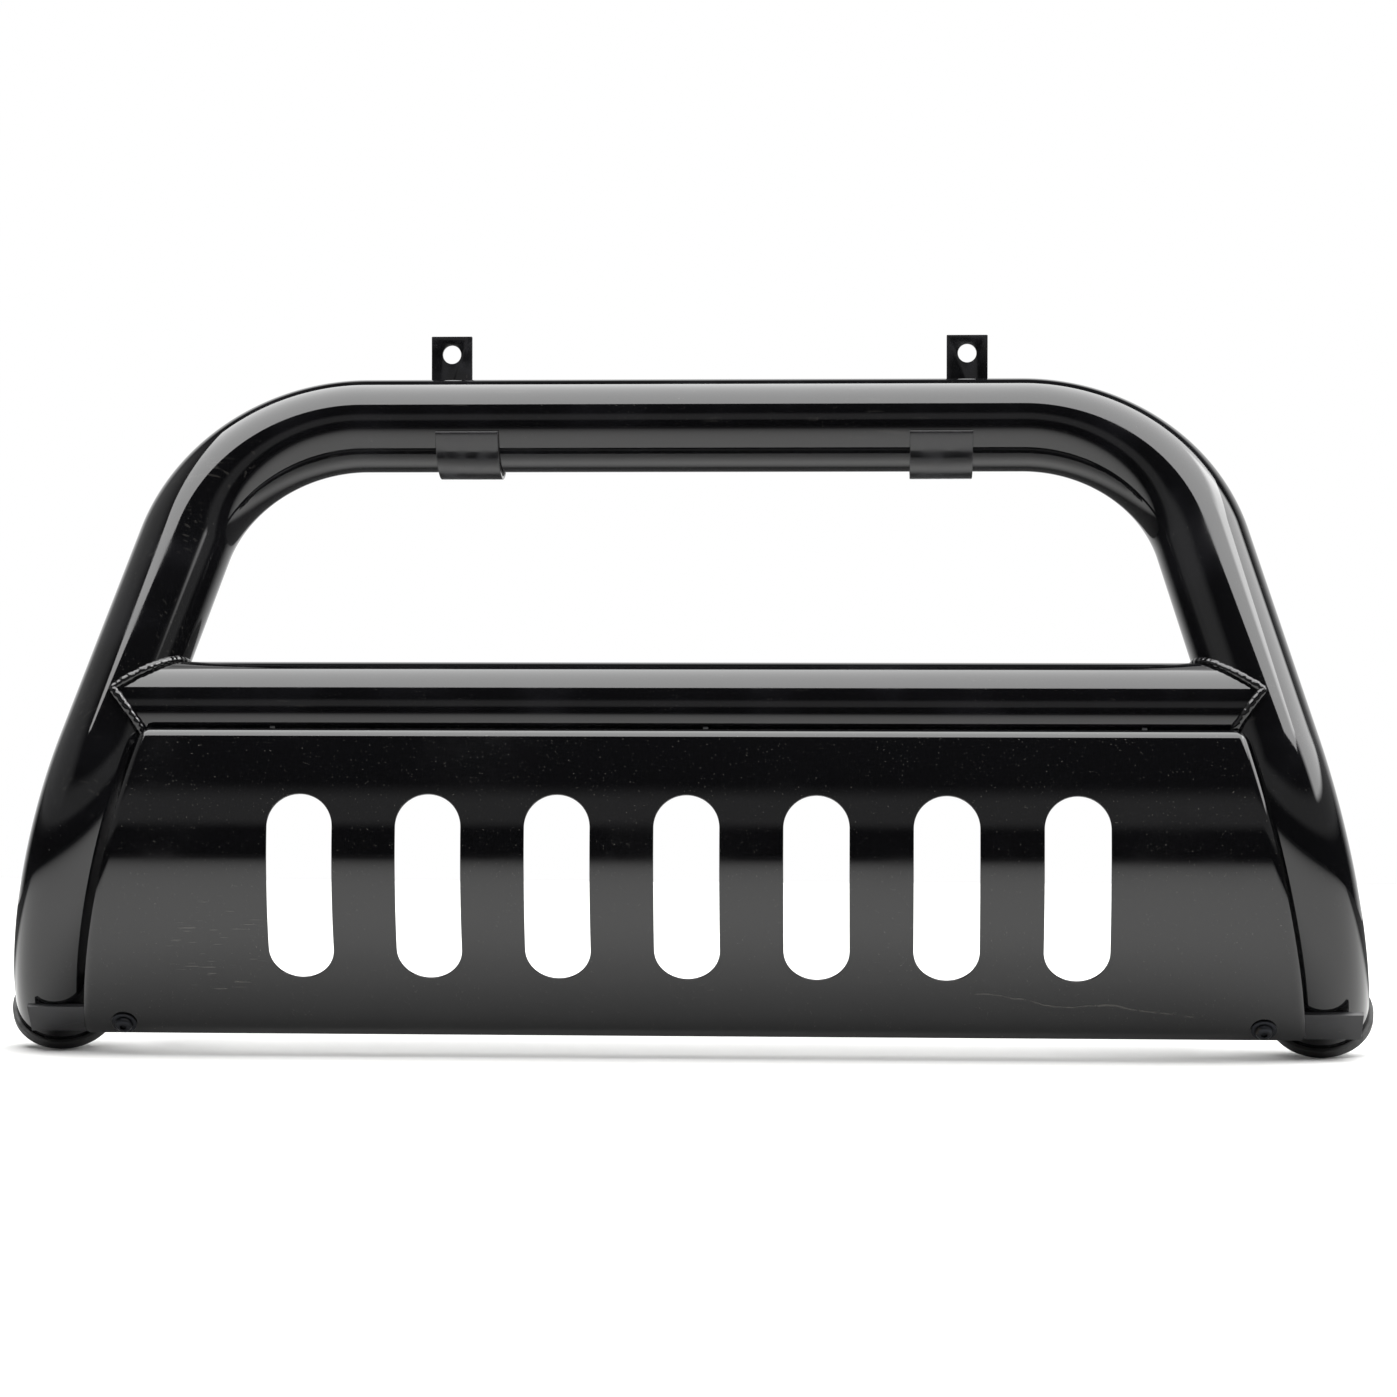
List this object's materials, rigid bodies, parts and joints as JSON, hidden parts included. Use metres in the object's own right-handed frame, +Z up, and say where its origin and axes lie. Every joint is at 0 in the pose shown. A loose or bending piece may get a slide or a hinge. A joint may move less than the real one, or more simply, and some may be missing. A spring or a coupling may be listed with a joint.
{
  "type": "front grille guard",
  "caption": "Bent tube grille guard with a crossbar, a rolled skid plate with upright slots, light tabs on the top tube and slotted ears for the vehicle's brackets.",
  "frame": {"origin": "bottom centre of the bounding box of the whole guard as it stands on the vehicle", "axes": "+X to the right across the vehicle as seen from in front of it, -Y to the front of the vehicle, +Z up"},
  "size_m": [1.085, 0.2426, 0.5816],
  "materials": {
    "gloss_black_powder_coat": "gloss black powder coat over steel tube",
    "gloss_black_plate_coat": "gloss black powder coat over rolled sheet",
    "coated_weld_bead": "weld bead under the gloss black coat",
    "satin_black_coat": "satin black coat over cut and bent steel",
    "black_cap_plastic": "moulded black polyethylene, fine matt grain",
    "black_liner_rubber": "black rubber sheet",
    "black_zinc_steel": "black zinc plated steel screws",
    "zinc_steel": "bright zinc plated steel"
  },
  "bodies": {
    "root": {"main_hoop": "gloss_black_powder_coat", "crossbar": "gloss_black_powder_coat", "crossbar_weld_left": "coated_weld_bead", "crossbar_weld_right": "coated_weld_bead", "end_cap_left": "black_cap_plastic", "end_cap_right": "black_cap_plastic", "skid_plate": "gloss_black_plate_coat", "plate_hanger_left": "satin_black_coat", "plate_hanger_centre": "satin_black_coat", "plate_hanger_right": "satin_black_coat", "plate_studs": "zinc_steel", "stud_washers": "zinc_steel", "stud_nuts": "zinc_steel", "lower_tab_left": "satin_black_coat", "lower_tab_right": "satin_black_coat", "lower_screws": "black_zinc_steel", "lower_washers": "black_zinc_steel", "lower_nuts": "zinc_steel", "light_liner_left": "black_liner_rubber", "light_liner_right": "black_liner_rubber", "light_saddle_left": "satin_black_coat", "light_saddle_right": "satin_black_coat", "light_tab_left": "satin_black_coat", "light_tab_right": "satin_black_coat", "light_bolts": "zinc_steel", "light_washers": "zinc_steel", "light_rivet_nuts": "zinc_steel", "mount_ear_left": "satin_black_coat", "mount_ear_right": "satin_black_coat"}
  },
  "joints": []
}
